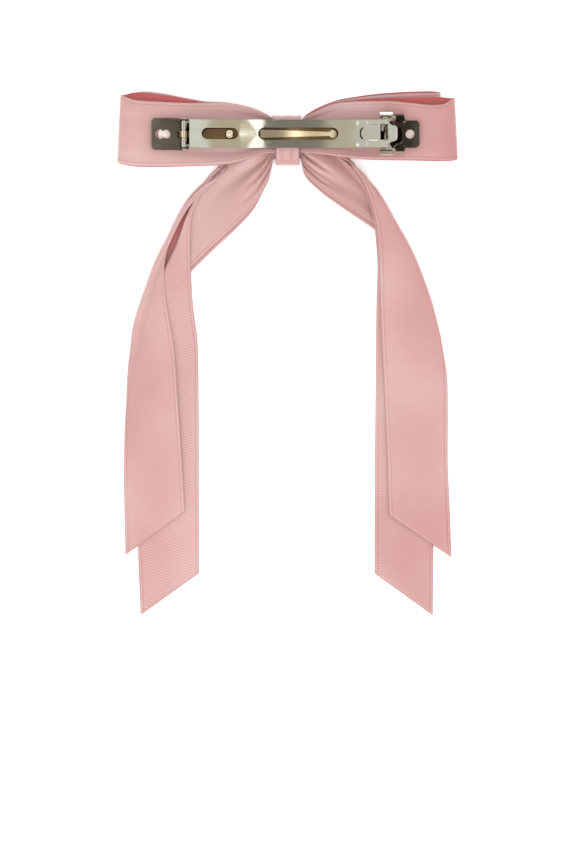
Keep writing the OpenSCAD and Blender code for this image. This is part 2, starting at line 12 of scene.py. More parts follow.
import bpy
import numpy as np
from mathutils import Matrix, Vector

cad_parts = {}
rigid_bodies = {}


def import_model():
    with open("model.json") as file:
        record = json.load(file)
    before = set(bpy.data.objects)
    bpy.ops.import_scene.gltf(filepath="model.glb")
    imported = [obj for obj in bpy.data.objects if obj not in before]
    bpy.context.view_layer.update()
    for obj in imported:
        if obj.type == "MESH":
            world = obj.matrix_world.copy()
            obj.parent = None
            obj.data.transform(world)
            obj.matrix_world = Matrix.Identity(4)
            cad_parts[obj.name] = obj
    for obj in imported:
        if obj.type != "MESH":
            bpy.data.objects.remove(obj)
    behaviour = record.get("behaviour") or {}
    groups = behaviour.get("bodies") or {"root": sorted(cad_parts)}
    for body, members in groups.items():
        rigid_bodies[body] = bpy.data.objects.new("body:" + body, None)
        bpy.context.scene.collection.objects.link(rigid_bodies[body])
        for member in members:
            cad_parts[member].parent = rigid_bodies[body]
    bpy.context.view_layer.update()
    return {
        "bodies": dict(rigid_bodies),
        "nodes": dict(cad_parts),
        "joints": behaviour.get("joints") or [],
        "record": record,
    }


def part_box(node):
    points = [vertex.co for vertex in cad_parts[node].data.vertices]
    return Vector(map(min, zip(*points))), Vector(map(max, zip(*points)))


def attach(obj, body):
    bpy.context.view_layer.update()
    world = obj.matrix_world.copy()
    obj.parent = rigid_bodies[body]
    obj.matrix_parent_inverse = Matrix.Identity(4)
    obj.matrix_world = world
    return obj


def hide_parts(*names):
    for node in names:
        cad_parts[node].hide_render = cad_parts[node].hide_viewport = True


LOG = logging.getLogger("barrette")
MM = 0.001
RIBBON_W = 19.0
CLOTH_T = 0.2
FAN_PLACES = 46
KNOT_PLACES = 10
Point = Sequence[float]


class Signal:
    """A shader socket that can be used in a Python expression."""

    def __init__(self, graph: "Graph", socket: bpy.types.NodeSocket) -> None:
        """Keeps the graph and the socket that the signal stands for."""
        self.graph = graph
        self.socket = socket

    def _with(self, operation: str, *others: object) -> "Signal":
        """Adds a Math node for this signal and others.

        Args:
            operation: The Math node's operation.
            others: Further signals or numbers, in order.

        Returns:
            The Math node's value.
        """
        return self.graph.math(operation, self, *others)

    def __add__(self, other: object) -> "Signal":
        """Adds a signal or a number."""
        return self._with("ADD", other)

    __radd__ = __add__

    def __mul__(self, other: object) -> "Signal":
        """Multiplies by a signal or a number."""
        return self._with("MULTIPLY", other)

    __rmul__ = __mul__

    def __sub__(self, other: object) -> "Signal":
        """Takes away a signal or a number."""
        return self._with("SUBTRACT", other)

    def __rsub__(self, other: object) -> "Signal":
        """Takes this signal away from a number."""
        return self.graph.math("SUBTRACT", other, self)

    def __truediv__(self, other: object) -> "Signal":
        """Divides by a signal or a number."""
        return self._with("DIVIDE", other)

    def __neg__(self) -> "Signal":
        """Turns the sign round."""
        return self._with("MULTIPLY", -1.0)

    def wave(self) -> "Signal":
        """Returns the sine of the signal, moved to the range 0 to 1."""
        return self._with("SINE") * 0.5 + 0.5

    def size(self) -> "Signal":
        """Returns the signal without its sign."""
        return self._with("ABSOLUTE")

    def above(self, edge: float, soft: float) -> "Signal":
        """Returns 0 well below an edge and 1 well above it, with a soft step of a given width."""
        return self.graph.node(
            "ShaderNodeMapRange",
            {"interpolation_type": "SMOOTHSTEP"},
            {"Value": self, "From Min": edge - soft / 2, "From Max": edge + soft / 2},
        )

    def band(self, low: float, high: float, soft: float) -> "Signal":
        """Returns 1 between two values and 0 outside them, with soft steps."""
        return self.above(low, soft) * (1.0 - self.above(high, soft))


class Graph:
    """A node tree that is built from expressions."""

    def __init__(self, tree: bpy.types.NodeTree) -> None:
        """Empties the tree and keeps it."""
        tree.nodes.clear()
        self.tree = tree

    def node(self, kind: str, settings: dict | None = None, inputs: dict | None = None,
             output: str | int = 0) -> Signal:
        """Adds one node.

        Args:
            kind: The node's type.
            settings: Its own settings, which are set first; a ramp's stops go under "stops".
            inputs: Values or signals for its sockets, by name or number.
            output: The socket that the result stands for.

        Returns:
            The chosen output as a signal.
        """
        made = self.tree.nodes.new(kind)
        for name, value in (settings or {}).items():
            if name == "stops":
                self._stops(made.color_ramp, value)
            else:
                setattr(made, name, value)
        for name, value in (inputs or {}).items():
            self.feed(made.inputs[name], value)
        return Signal(self, made.outputs[output] if len(made.outputs) else None)

    def feed(self, socket: bpy.types.NodeSocket, value: object) -> None:
        """Links a signal to a socket, or sets the socket's own value."""
        if isinstance(value, Signal):
            self.tree.links.new(value.socket, socket)
        else:
            socket.default_value = value

    @staticmethod
    def _stops(ramp: bpy.types.ColorRamp, stops: Sequence[tuple]) -> None:
        """Gives a colour ramp its stops, each a place and a colour."""
        while len(ramp.elements) < len(stops):
            ramp.elements.new(0.5)
        for element, (place, colour) in zip(ramp.elements, stops):
            element.position = place
            element.color = (*colour, 1.0)

    def math(self, operation: str, *values: object) -> Signal:
        """Adds a Math node and returns its value."""
        return self.node("ShaderNodeMath", {"operation": operation}, dict(enumerate(values)))

    def mix(self, amount: object, first: object, second: object, blend: str = "MIX") -> Signal:
        """Mixes two colours; the amount is a signal or a number from 0 to 1."""
        inputs = {0: amount, 6: self.colour(first), 7: self.colour(second)}
        settings = {"data_type": "RGBA", "blend_type": blend}
        return self.node("ShaderNodeMix", settings, inputs, output=2)

    @staticmethod
    def colour(value: object) -> object:
        """Gives a plain colour its fourth number."""
        return value if isinstance(value, Signal) or len(value) == 4 else (*value, 1.0)

    def place(self, kind: str = "Object") -> Signal:
        """Returns texture coordinates of the given kind."""
        return self.node("ShaderNodeTexCoord", output=kind)

    def axes(self, vector: Signal) -> list[Signal]:
        """Splits a vector into its three numbers."""
        split = self.node("ShaderNodeSeparateXYZ", inputs={0: vector})
        return [Signal(self, output) for output in split.socket.node.outputs]

    def noise(self, vector: Signal, scale: float, detail: float = 2.0,
              rough: float = 0.5) -> Signal:
        """Returns a noise value from 0 to 1."""
        inputs = {"Vector": vector, "Scale": scale, "Detail": detail, "Roughness": rough}
        return self.node("ShaderNodeTexNoise", inputs=inputs, output=0)

    def stretch(self, vector: Signal, scale: Point) -> Signal:
        """Scales a vector's axes."""
        return self.node("ShaderNodeVectorMath", {"operation": "MULTIPLY"},
                         {0: vector, 1: tuple(scale)})


def srgb(red: int, green: int, blue: int) -> tuple[float, float, float]:
    """Turns a screen colour of 0 to 255 into the linear colour that shaders use."""
    def linear(value: int) -> float:
        """Turns one channel to linear light."""
        part = value / 255
        return part / 12.92 if part <= 0.04045 else ((part + 0.055) / 1.055) ** 2.4
    return (linear(red), linear(green), linear(blue))


class Twill(Enum):
    """Which way the satin's fine lines lean, seen on a ply's face."""

    RISING = 1.0
    FALLING = -1.0


@dataclass(frozen=True)
class Satin:
    """Woven satin ribbon: fine slanting floats, a ladder at each selvedge, a soft sheen, broad
    patches of painted sheen and, where a shade colour is given, painted shade inside folds and
    loops.
    """

    name: str
    colour: tuple[float, float, float]
    deep: tuple[float, float, float]
    twill: Twill = Twill.RISING
    pitch: float = 0.6
    selvedge: float = 0.95
    weave: float = 0.32
    roughness: float = 0.34
    sheen: float = 0.5
    # Colour of the painted shade that this face gets inside folds and loops; None for none.
    shade: tuple[float, float, float] | None = None

    def material(self) -> bpy.types.Material:
        """Builds the material from the ribbon's own lengthwise and crosswise millimetres."""
        made = bpy.data.materials.new(self.name)
        made.use_nodes = True
        graph = Graph(made.node_tree)
        run, across, _ = graph.axes(graph.node("ShaderNodeUVMap", {"uv_map": "ribbon"}))
        place = graph.place()
        edge = RIBBON_W / 2 - across.size()
        turn = 2 * math.pi / self.pitch
        wobble = graph.noise(place, 260.0, 3.0)
        lines = ((run * 0.72 + across * (0.69 * self.twill.value)) * turn + wobble * 3.0).wave()
        body = edge.above(self.selvedge, 0.08)
        groove = edge.band(self.selvedge - 0.16, self.selvedge + 0.16, 0.14)
        ladder = (run * (2 * math.pi / 0.7)).wave() * (1.0 - body)
        fibres = graph.noise(place, 1900.0, 2.0)
        cloud = graph.noise(place, 75.0, 2.0)
        # Painted sheen: broad soft patches that lighten and darken the rose along the ribbon.
        painted_sheen_patches = graph.noise(graph.stretch(place, (1.0, 0.7, 1.0)), 30.0, 1.0)
        shade = lines * body * self.weave + groove * 0.3 + ladder * 0.12 + (fibres - 0.5) * 0.16
        amount = shade + (cloud - 0.5) * 0.22 + (painted_sheen_patches - 0.5) * 1.3 + 0.15
        tint = graph.mix(amount, self.colour, self.deep)
        # Painted shade: the face turns towards the shade colour where the tucked mask puts it inside
        # a fold or a loop.
        if self.shade:
            tucked = graph.node("ShaderNodeAttribute", {"attribute_name": "tucked"}, output="Fac")
            tint = graph.mix(tucked, tint, self.shade)
        rough = lines * body * 0.09 + self.roughness + (1.0 - body) * 0.12 + (cloud - 0.5) * 0.1
        height = lines * body * 0.4 + ladder * 0.3 - groove * 0.7 + fibres * 0.3
        bump = graph.node("ShaderNodeBump", inputs={"Strength": 0.5, "Distance": 0.00006,
                                                    "Height": height})
        shader = graph.node("ShaderNodeBsdfPrincipled", inputs={
            "Base Color": tint, "Roughness": rough, "Normal": bump,
            "Sheen Weight": self.sheen, "Sheen Roughness": 0.4,
            "Sheen Tint": (1.0, 0.86, 0.84, 1.0), "Specular IOR Level": 0.9})
        graph.node("ShaderNodeOutputMaterial", inputs={"Surface": shader})
        return made


@dataclass(frozen=True)
class Plating:
    """Bright plated steel with rolling marks, fine scratches, dark spots and, where a height is
    given, a painted highlight on everything above it.
    """

    name: str
    colour: tuple[float, float, float]
    warm: tuple[float, float, float]
    roughness: float = 0.16
    grain: Point = (40.0, 900.0, 900.0)
    scratches: float = 0.05
    painted_highlight_above: float | None = None
    painted_highlight_colour: tuple[float, float, float] = (1.0, 1.0, 1.0)

    def material(self) -> bpy.types.Material:
        """Builds the material in the clip's own coordinates."""
        made = bpy.data.materials.new(self.name)
        made.use_nodes = True
        graph = Graph(made.node_tree)
        place = graph.place()
        rolled = graph.noise(graph.stretch(place, self.grain), 1.0, 4.0, 0.6)
        cloud = graph.noise(place, 220.0, 3.0)
        spots = graph.noise(place, 2600.0, 2.0).above(0.68, 0.06)
        tint = graph.mix(cloud.above(0.5, 0.5) * 0.6 + rolled * 0.2, self.colour, self.warm)
        # Painted highlight: everything above the given height takes the bright colour.
        if self.painted_highlight_above is not None:
            height = graph.axes(place)[2]
            tint = graph.mix(height.above(self.painted_highlight_above, 0.0002), tint, self.painted_highlight_colour)
        tint = graph.mix(spots * 0.25, tint, [c * 0.45 for c in self.warm])
        rough = self.roughness + (rolled - 0.5) * 0.06 + (cloud - 0.5) * 0.04 + spots * 0.12
        bump = graph.node("ShaderNodeBump", inputs={
            "Strength": self.scratches, "Distance": 0.00004,
            "Height": rolled + cloud * 0.6 + spots * 0.2})
        shader = graph.node("ShaderNodeBsdfPrincipled", inputs={
            "Base Color": tint, "Roughness": rough, "Normal": bump, "Metallic": 1.0})
        graph.node("ShaderNodeOutputMaterial", inputs={"Surface": shader})
        return made


@dataclass(frozen=True)
class Glue:
    """Cloudy dried glue."""

    name: str = "dried_glue"
    colour: tuple[float, float, float] = srgb(226, 219, 213)

    def material(self) -> bpy.types.Material:
        """Builds the glue's material."""
        made = bpy.data.materials.new(self.name)
        made.use_nodes = True
        graph = Graph(made.node_tree)
        cloud = graph.noise(graph.place(), 700.0, 3.0)
        tint = graph.mix(cloud.above(0.5, 0.4), self.colour, srgb(205, 178, 172))
        bump = graph.node("ShaderNodeBump", inputs={"Strength": 0.4, "Distance": 0.0001,
                                                    "Height": cloud})
        shader = graph.node("ShaderNodeBsdfPrincipled", inputs={
            "Base Color": tint, "Roughness": cloud * 0.2 + 0.25, "Normal": bump})
        graph.node("ShaderNodeOutputMaterial", inputs={"Surface": shader})
        return made


@dataclass(frozen=True)
class Paper:
    """The pale floor under the object."""

    name: str = "pale_paper"
    colour: tuple[float, float, float] = (0.93, 0.93, 0.93)

    def material(self) -> bpy.types.Material:
        """Builds the floor's material, with a faint grain."""
        made = bpy.data.materials.new(self.name)
        made.use_nodes = True
        graph = Graph(made.node_tree)
        grain = graph.noise(graph.place(), 900.0, 2.0)
        tint = graph.mix(grain * 0.04, self.colour, (0.85, 0.85, 0.85))
        shader = graph.node("ShaderNodeBsdfPrincipled", inputs={
            "Base Color": tint, "Roughness": 0.9, "Specular IOR Level": 0.1,
            "Emission Color": (1.0, 1.0, 1.0, 1.0), "Emission Strength": 0.26})
        graph.node("ShaderNodeOutputMaterial", inputs={"Surface": shader})
        return made


class Curve:
    """A smooth curve through points, measured along its length from 0 to 1."""

    def __init__(self, points: Sequence[Point], fine: int = 24) -> None:
        """Fits a centripetal spline through the points and measures it.

        Args:
            points: The points that the curve passes through.
            fine: Steps between neighbouring points.
        """
        p = np.array(points, float)
        p = np.vstack([2 * p[0] - p[1], p, 2 * p[-1] - p[-2]])
        gap = np.sqrt(np.linalg.norm(np.diff(p, axis=0), axis=1)).clip(1e-6)
        knots = np.concatenate([[0.0], np.cumsum(gap)])
        pieces = []
        for i in range(1, len(p) - 2):
            t = np.linspace(knots[i], knots[i + 1], fine, endpoint=i == len(p) - 3)[:, None]
            k0, k1, k2, k3 = knots[i - 1:i + 3]
            a = (k1 - t) / (k1 - k0) * p[i - 1] + (t - k0) / (k1 - k0) * p[i]
            b = (k2 - t) / (k2 - k1) * p[i] + (t - k1) / (k2 - k1) * p[i + 1]
            c = (k3 - t) / (k3 - k2) * p[i + 1] + (t - k2) / (k3 - k2) * p[i + 2]
            d = (k2 - t) / (k2 - k0) * a + (t - k0) / (k2 - k0) * b
            e = (k3 - t) / (k3 - k1) * b + (t - k1) / (k3 - k1) * c
            pieces.append((k2 - t) / (k2 - k1) * d + (t - k1) / (k2 - k1) * e)
        self.points = np.vstack(pieces)
        steps = np.linalg.norm(np.diff(self.points, axis=0), axis=1)
        self.along = np.concatenate([[0.0], np.cumsum(steps)])
        self.length = float(self.along[-1])

    def at(self, share: np.ndarray | float) -> np.ndarray:
        """Returns the points at shares of the length."""
        where = np.asarray(share, float) * self.length
        axes = [np.interp(where, self.along, column) for column in self.points.T]
        return np.stack(axes, -1)

    def normal(self, share: np.ndarray | float, side: float) -> np.ndarray:
        """Returns unit normals in plan, to the right of travel when side is positive."""
        ahead = self.at(np.clip(np.asarray(share) + 0.01, 0, 1))
        behind = self.at(np.clip(np.asarray(share) - 0.01, 0, 1))
        run = ahead - behind
        run /= np.linalg.norm(run, axis=-1, keepdims=True).clip(1e-9)
        return side * np.stack([run[..., 1], -run[..., 0]], -1)

    def y_at(self, x: np.ndarray) -> np.ndarray:
        """Returns the curve's second number where its first, which only rises, has a value."""
        return np.interp(x, self.points[:, 0], self.points[:, 1])


def smooth(value: np.ndarray | float, low: float = 0.0, high: float = 1.0) -> np.ndarray:
    """Eases from 0 at low to 1 at high."""
    t = np.clip((np.asarray(value, float) - low) / (high - low), 0, 1)
    return t * t * (3 - 2 * t)


def seated(grid: np.ndarray, node: str, axes: Sequence[int] = (0, 1)) -> np.ndarray:
    """Stretches a ribbon from the knot outwards until it reaches as far as its CAD piece.

    Args:
        grid: The ribbon's points in millimetres.
        node: The CAD piece that it dresses.
        axes: The directions in plan that are stretched.

    Returns:
        The points, seated on the piece.
    """
    low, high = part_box(node)
    placed = grid.copy()
    for axis in axes:
        line = grid[..., axis]
        down = low[axis] / MM / min(float(line.min()), -1.0)
        up = high[axis] / MM / max(float(line.max()), 1.0)
        placed[..., axis] = line * np.where(line < 0, down, up)
    return placed


class Ribbon:
    """Cloth made of lengthwise threads, which become one thin closed piece."""

    def __init__(self, name: str) -> None:
        """Starts an empty piece of ribbon."""
        self.name = name
        self.points: list[np.ndarray] = []
        self.faces: list[tuple[int, int, int, int]] = []
        self.coordinates: list[np.ndarray] = []
        self.tucked: list[np.ndarray] = []
        self.count = 0

    def add(self, grid: np.ndarray, across: np.ndarray,
            tucked: np.ndarray | None = None) -> np.ndarray:
        """Adds a strip.

        Args:
            grid: Points in millimetres, threads first, then places along each thread.
            across: Each thread's place across the ribbon, in millimetres.
            tucked: How deep each place lies inside a fold or a loop, from 0 to 1; it sets how much
                painted shade the ribbon's second face gets there.

        Returns:
            The length of each thread in millimetres.
        """
        threads, places = grid.shape[:2]
        steps = np.linalg.norm(np.diff(grid, axis=1), axis=2)
        run = np.concatenate([np.zeros((threads, 1)), np.cumsum(steps, 1)], 1)
        cloth = np.stack([run, np.repeat(across[:, None], places, 1)], -1)
        for i in range(threads - 1):
            for j in range(places - 1):
                a = self.count + i * places + j
                self.faces.append((a, a + 1, a + places + 1, a + places))
        self.points.append(grid.reshape(-1, 3))
        self.coordinates.append(cloth.reshape(-1, 2))
        depth = np.zeros((threads, places)) if tucked is None else tucked
        self.tucked.append(np.broadcast_to(depth, (threads, places)).ravel())
        self.count += threads * places
        return run[:, -1]

    def build(self, faces: Sequence[bpy.types.Material], node: str,
              thickness: float = CLOTH_T, cloth_slot: str | None = None) -> bpy.types.Object:
        """Makes the object that replaces a node of the frame, from its two faces' satins."""
        points = np.vstack(self.points) * MM
        cloth = np.vstack(self.coordinates)
        mesh = bpy.data.meshes.new(self.name)
        mesh.from_pydata(points.tolist(), [], self.faces)
        layer = mesh.uv_layers.new(name="ribbon")
        corners = np.zeros(len(mesh.loops), np.int32)
        mesh.loops.foreach_get("vertex_index", corners)
        layer.data.foreach_set("uv", cloth[corners].astype(np.float32).ravel())
        mesh.polygons.foreach_set("use_smooth", [True] * len(mesh.polygons))
        # The tucked attribute is the mask of painted shade inside folds and loops.
        depth = mesh.attributes.new("tucked", "FLOAT", "POINT")
        depth.data.foreach_set("value", np.concatenate(self.tucked).astype(np.float32))
        mesh.update()
        piece = bpy.data.objects.new(self.name, mesh)
        bpy.context.scene.collection.objects.link(piece)
        for face in faces:
            mesh.materials.append(face)
        shell = piece.modifiers.new("cloth", "SOLIDIFY")
        shell.material_offset = len(faces) - 1
        shell.thickness = thickness * MM
        shell.offset = 0.0
        shell.use_even_offset = False
        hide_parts(node)
        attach(piece, "clip_base")
        LOG.info("%s: %d faces", self.name, len(self.faces))
        return piece


@dataclass(frozen=True)
class Pleat:
    """One soft valley of gathered cloth that starts at the knot and runs out along the ribbon."""

    place: float
    width: float
    depth: float
    reach: float = 1.0
    drift: float = 0.0

    def height(self, across: np.ndarray, along: np.ndarray) -> np.ndarray:
        """Returns the valley's height at places across (0 to 1) and along (0 to 1)."""
        centre = self.place + self.drift * along
        width = self.width * (0.55 + 0.9 * along)
        fade = 1 - smooth(along, 0.15 * self.reach, self.reach)
        return -self.depth * fade * np.exp(-(((across - centre) / width) ** 2))


@dataclass
class Strip:
    """A ribbon end that fans out from the knot, rolls over at a fold line and hangs down."""

    upper: list[Point]
    lower: list[Point]
    fold: list[Point]
    near: list[Point]
    far: list[Point]
    fan_z: Callable[[np.ndarray, np.ndarray], np.ndarray]
    tail_z: Callable[[np.ndarray, np.ndarray], np.ndarray]
    bulge: float
    pleats: list[Pleat]
    side: float
    threads: int = 37

    def grid(self) -> tuple[np.ndarray, np.ndarray]:
        """Lays the strip out.

        Returns:
            The points, threads first, and the share of the width at each thread.
        """
        across = np.linspace(0, 1, self.threads)
        s = across[:, None]
        fold = Curve(self.fold)
        edge = fold.at(across)
        out = fold.normal(across, self.side)
        bulge = self.bulge * (1 - 0.9 * smooth(s, 0.7, 1.0))
        hem = edge - out * (bulge + 0.15)
        fan_t = np.linspace(0, 1, FAN_PLACES)[None, :]
        fan = self._patch(Curve(self.upper), Curve(self.lower), hem, s, fan_t, at_end=True)
        fan_z = self.fan_z(s, fan_t) + sum(p.height(s, fan_t) for p in self.pleats)
        tail_t = np.linspace(0, 1, 110)[None, :] ** 1.15
        tail = self._patch(Curve(self.near), Curve(self.far), hem, s, tail_t, at_end=False)
        tail_z = self.tail_z(s, tail_t)
        turn = np.linspace(-90, 90, 15)[None, 1:-1] * math.pi / 180
        low, high = fan_z[:, -1:], tail_z[:, :1]
        roll = hem[:, None] + out[:, None] * (bulge * np.cos(turn))[..., None]
        roll_z = (low + high) / 2 + (high - low) / 2 * np.sin(turn)
        plan = np.concatenate([fan, roll, tail], 1)
        height = np.concatenate([fan_z, roll_z, tail_z], 1)
        return np.concatenate([plan, height[..., None]], 2), across

    @staticmethod
    def _patch(first: Curve, second: Curve, hem: np.ndarray, s: np.ndarray, t: np.ndarray,
               at_end: bool) -> np.ndarray:
        """Fills the plan between two selvedges, meeting the hem at one end."""
        one = first.at(t[0])[None]
        two = second.at(t[0])[None]
        plan = one * (1 - s[..., None]) + two * s[..., None]
        joined = plan[:, -1 if at_end else 0]
        gap = (hem - joined)[:, None]
        fade = t ** 2 if at_end else (1 - t) ** 6
        return plan + gap * fade[..., None]


def eased(start: float, end: float, low: float = 0.0, high: float = 1.0,
          curl: float = 0.0, ripple: float = 0.0, waves: float = 2.0,
          twist: float = 0.0,
          tuck: float = 0.0) -> Callable[[np.ndarray, np.ndarray], np.ndarray]:
    """Makes a height that eases from one level to another along a strip.

    Args:
        start: Height where the strip starts, in millimetres.
        end: Height where it ends.
        low: Share of the strip where the change starts.
        high: Share of the strip where the change ends.
        curl: How far both selvedges stand above the middle.
        ripple: Height of slow waves along the strip.
        waves: How many waves there are.
        twist: How much higher the second selvedge is than the first, where the strip starts.
        tuck: How much lower the first selvedge is, just where the strip starts.

    Returns:
        A function of the places across and along, both from 0 to 1.
    """
    def height(s: np.ndarray, t: np.ndarray) -> np.ndarray:
        """Returns the height at places across and along."""
        ease = smooth(t, low, high)
        level = start + (end - start) * ease
        cup = curl * ((2 * s - 1) ** 2 - 0.33)
        roll = twist * (s - 0.5) * (1 - ease)
        wave = ripple * np.sin(2 * math.pi * waves * t + 2.2 * s) * smooth(t, 0.0, 0.25)
        low_start = tuck * (1 - smooth(s, 0.0, 0.3)) * (1 - smooth(t, 0.0, 0.12))
        return level + cup + roll + wave - low_start
    return height


class Bow:
    """The whole ribbon bow: two rings of loops, two folded strips, the wrap and the knot."""

    def __init__(self) -> None:
        """Chooses the satin of each ribbon."""
        rose = srgb(192, 156, 154)
        deep = srgb(162, 88, 86)
        # Painted shade colour for the ribbons' second face inside loops and folds.
        shade = srgb(180, 72, 74)
        self.satin = {
            "back_loops": (Satin("satin_back", rose, deep, Twill.FALLING),
                           Satin("satin_back_reverse_painted_shade", rose, deep, shade=shade)),
            "front_loops": (Satin("satin_front", rose, deep, Twill.FALLING),
                            Satin("satin_front_reverse_painted_shade", rose, deep, shade=shade)),
            "outer_tails": (Satin("satin_outer", rose, deep, Twill.RISING),
                            Satin("satin_outer_reverse_painted_fold_shade", rose, deep, weave=0.05, shade=shade)),
            "inner_tails": (Satin("satin_inner", rose, deep, Twill.FALLING),
                            Satin("satin_inner_reverse_painted_fold_shade", rose, deep, weave=0.05, shade=shade)),
            "centre_wrap": (Satin("satin_knot", rose, deep, Twill.RISING),),
        }

        # How many rows the painted fold shade spreads along a strip from each fold.
        self.fold_shade_rows = {"outer_tails": 7.0, "inner_tails": 1.0}

    def _faces(self, node: str) -> list[bpy.types.Material]:
        """Makes the satins of a ribbon's two faces."""
        return [satin.material() for satin in self.satin[node]]

    def build(self) -> list[bpy.types.Object]:
        """Builds every ribbon of the bow."""
        return [self.back_loops(), self.front_loops(), self.outer_tails(), self.inner_tails(),
                self.wrap()]

    def _strips(self, node: str, strips: Sequence[Strip]) -> bpy.types.Object:
        """Builds one node's two tails as a single ribbon that passes through the knot."""
        ribbon = Ribbon(f"ribbon_{node}")
        left, right = (strip.grid()[0] for strip in strips)
        across = np.linspace(-RIBBON_W / 2, RIBBON_W / 2, left.shape[0])
        start, end = left[:, 0], right[:, 0]
        t = np.linspace(0, 1, KNOT_PLACES + 2)[None, 1:-1, None]
        knot = start[:, None] * (1 - t) + end[:, None] * t
        grid = seated(np.concatenate([left[:, ::-1], knot, right], 1), node)
        # Painted shade: the second face darkens near each fold, fading over the rows set per node.
        rows = np.arange(grid.shape[1])
        bends = (left.shape[1] - 1 - FAN_PLACES, left.shape[1] + KNOT_PLACES + FAN_PLACES)
        depth = sum(np.exp(-((rows - bend) / self.fold_shade_rows[node]) ** 2) for bend in bends)
        lengths = ribbon.add(grid, across, depth)
        piece = ribbon.build(self._faces(node), node)
        return piece

    def outer_tails(self) -> bpy.types.Object:
        """Builds the strip that folds round the outside, with the two short tails."""
        fan = eased(2.55, 0.45, 0.05, 0.9, ripple=0.25, waves=0.8)
        left = Strip(
            upper=[(-3.2, -0.9), (-12, -4.4), (-19, -8.4)],
            lower=[(-4.4, -6.9), (-5.6, -13), (-7.4, -16.7), (-10.2, -21.9), (-15.4, -27.6),
                   (-22.6, -34.2), (-29.3, -40.6), (-38, -49.5), (-46.8, -60)],
            fold=[(-19, -8.4), (-21.6, -11.1), (-25.3, -13.7), (-28.6, -16.6), (-31.1, -19.8),
                  (-33.0, -23.0), (-34.8, -26.6), (-36.8, -30.8), (-40.0, -37.2),
                  (-43.5, -46.6), (-46, -54.5), (-47.2, -61)],
            near=[(-19, -8.6), (-21.4, -11.3), (-25.3, -14.0), (-29.9, -18.9), (-32.2, -23),
                  (-34.1, -27.4), (-36.0, -32.8), (-37.0, -37), (-37.3, -41.5),
                  (-37.2, -45), (-36.3, -51.4), (-34.3, -63.6), (-33.1, -79.2), (-32, -96),
                  (-31, -113.1)],
            far=[(-47.2, -61), (-48.1, -71), (-48.5, -79.5), (-49.1, -90), (-49.4, -102.2),
                 (-49.2, -114), (-48.9, -126.3)],
            fan_z=fan,
            tail_z=eased(5.2, 1.3, 0.08, 0.7, curl=0.35, ripple=0.2, waves=1.6, twist=1.6,
                         tuck=2.4),
            bulge=1.2,
            pleats=[Pleat(0.3, 0.1, 0.9, 0.9), Pleat(0.72, 0.1, 0.8, 1.0)],
            side=1.0)
        right = Strip(
            upper=[(3.2, -0.9), (7, -2), (11.5, -3.5)],
            lower=[(4.2, -6.6), (5.1, -11.6), (10, -16.5), (16.1, -20.7), (22.2, -24.4),
                   (26.5, -27), (33, -33), (40, -42), (45.2, -55)],
            fold=[(11.5, -3.5), (15.5, -4.9), (19.3, -7), (22.2, -10.8), (26.8, -15.4),
                  (29.8, -19.9), (32.9, -25.5), (37.5, -33.7), (40.5, -40.7),
                  (43.6, -49.6), (46.4, -61)],
            near=[(11.5, -3.7), (16, -5.5), (19, -7.6), (22.2, -12), (24.3, -16.9),
                  (26.2, -22.9), (27.1, -29.2), (27.7, -38.2), (28, -49.6), (28.5, -61),
                  (29.4, -77.7), (30.2, -97.5), (30.7, -114.2)],
            far=[(46.4, -61), (47.5, -68), (48.1, -73.5), (48.3, -85), (48.3, -97.5),
                 (48.9, -112), (49.5, -127)],
            fan_z=fan,
            tail_z=eased(4.6, 1.3, 0.08, 0.7, curl=0.35, ripple=0.2, waves=1.4, twist=0.9),
            bulge=1.0,
            pleats=[Pleat(0.35, 0.1, 0.9, 1.0), Pleat(0.7, 0.1, 0.7, 1.0)],
            side=-1.0)
        return self._strips("outer_tails", (left, right))

    def inner_tails(self) -> bpy.types.Object:
        """Builds the strip that folds inside the other one, with the two long tails."""
        fan = eased(3.75, 1.55, 0.05, 0.9, ripple=0.3, waves=0.8)
        left = Strip(
            upper=[(-3.2, -0.7), (-11, -3.4), (-19, -7)],
            lower=[(-4.4, -6.1), (-5.0, -10.6), (-6.5, -14.9), (-9.4, -20), (-14.6, -25.5),
                   (-21.5, -31.7), (-28.1, -38), (-34.6, -44.3), (-40, -51)],
            fold=[(-19, -7), (-21.4, -9.3), (-25.3, -13.5), (-26.7, -16.6), (-28.7, -21),
                  (-30.5, -25), (-32.1, -28.6), (-34.3, -33.4), (-37.2, -39.5),
                  (-39.4, -45.5), (-40.6, -52)],
            near=[(-19, -7), (-22.4, -10.8), (-26, -15.4), (-28, -19.2), (-29.2, -24.5),
                  (-29.6, -30.4), (-29.3, -40.3), (-28.6, -51.4), (-27.3, -61.3),
                  (-26.9, -79.5), (-26.8, -105), (-26.7, -131.8)],
            far=[(-40.6, -52), (-42.4, -63), (-43.6, -76), (-44.6, -92), (-45.2, -108),
                 (-45.3, -124.1), (-44.5, -144.5)],
            fan_z=fan,
            tail_z=eased(2.9, 0.42, 0.03, 0.5, curl=0.22, ripple=0.2, waves=1.6, twist=-0.5),
            bulge=0.6,
            pleats=[Pleat(0.3, 0.13, 1.7, 1.0, 0.02), Pleat(0.55, 0.06, 2.0, 0.45, -0.05),
                    Pleat(0.78, 0.05, 1.6, 0.45, -0.1)],
            side=1.0)
